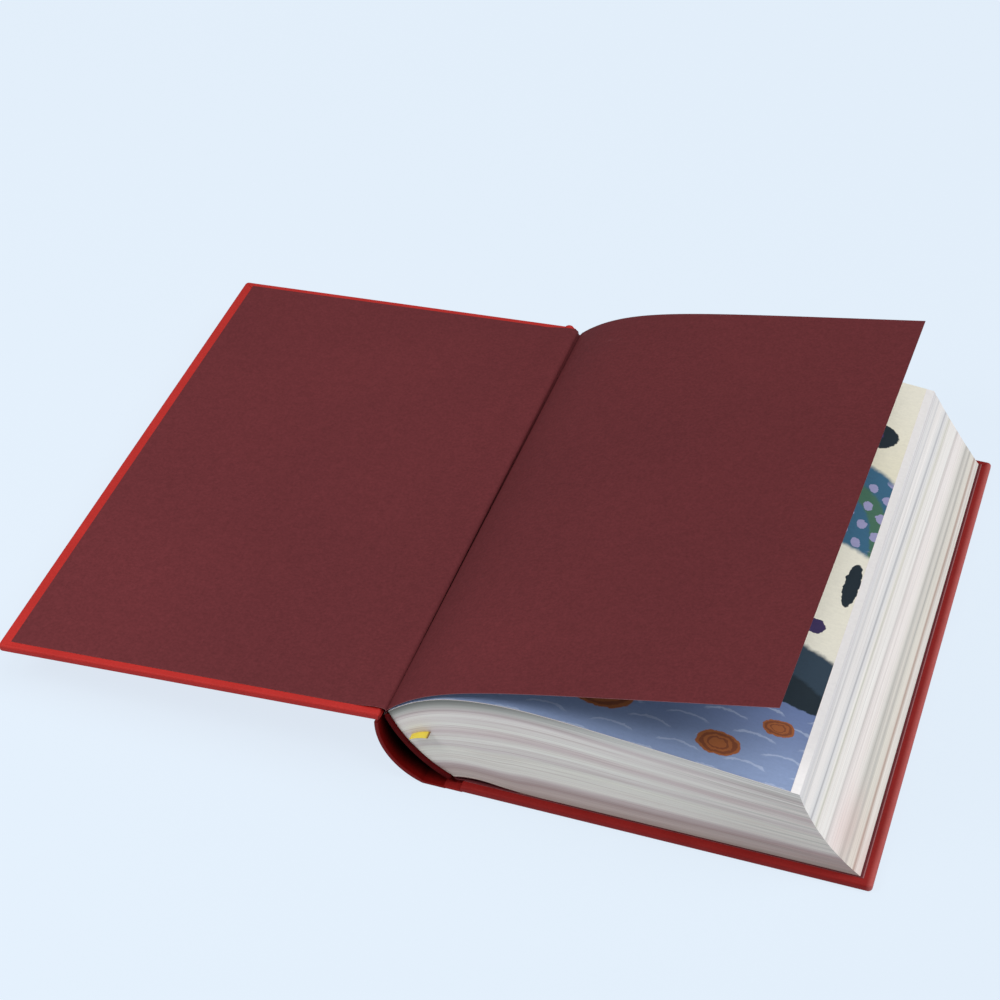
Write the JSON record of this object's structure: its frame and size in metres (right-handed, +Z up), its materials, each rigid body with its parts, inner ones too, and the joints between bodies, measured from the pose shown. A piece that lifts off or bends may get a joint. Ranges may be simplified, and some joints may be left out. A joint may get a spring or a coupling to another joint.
{
  "type": "open book",
  "caption": "case-bound book lying open on its back cover, front cover turned back, first leaf lifted, ribbon marker between the leaves",
  "frame": {"origin": "middle of the back cover's underside, which lies on the table", "axes": "+X from the spine towards the back cover's fore-edge, +Y from the tail to the head, +Z up"},
  "size_m": [0.3229, 0.2407, 0.0723],
  "materials": {
    "greyboard": "matt grey board",
    "cover_cloth": "smooth filled red book cloth, soft sheen",
    "endpaper": "matt maroon paper",
    "leaves": "matt white printed leaves",
    "lining": "dark glued lining",
    "band": "dark red woven band",
    "ribbon": "yellow satin ribbon"
  },
  "bodies": {
    "back_cover": {"back_board": "greyboard", "back_cover_cloth": "cover_cloth", "back_pastedown": "endpaper"},
    "book_block": {"text_block": "leaves", "front_flyleaf": "endpaper", "back_flyleaf": "endpaper", "spine_lining": "lining", "tail_band": "band", "head_band": "band", "ribbon_marker": "ribbon", "spine_cloth": "cover_cloth", "spine_stiffener": "greyboard"},
    "front_cover": {"front_board": "greyboard", "front_cover_cloth": "cover_cloth", "front_pastedown": "endpaper"}
  },
  "joints": [
    {"name": "back_cover_hinge", "type": "hinge", "parent": "back_cover", "child": "book_block", "pos_m": [-0.0784, 0, 0.00017], "axis": [0, -1, 0], "range_deg": [0, 90]},
    {"name": "front_cover_hinge", "type": "hinge", "parent": "book_block", "child": "front_cover", "pos_m": [-0.1024, 0, 0.0325], "axis": [0, 1, 0], "range_deg": [-5, 172], "deforming": ["front_flyleaf"]}
  ]
}
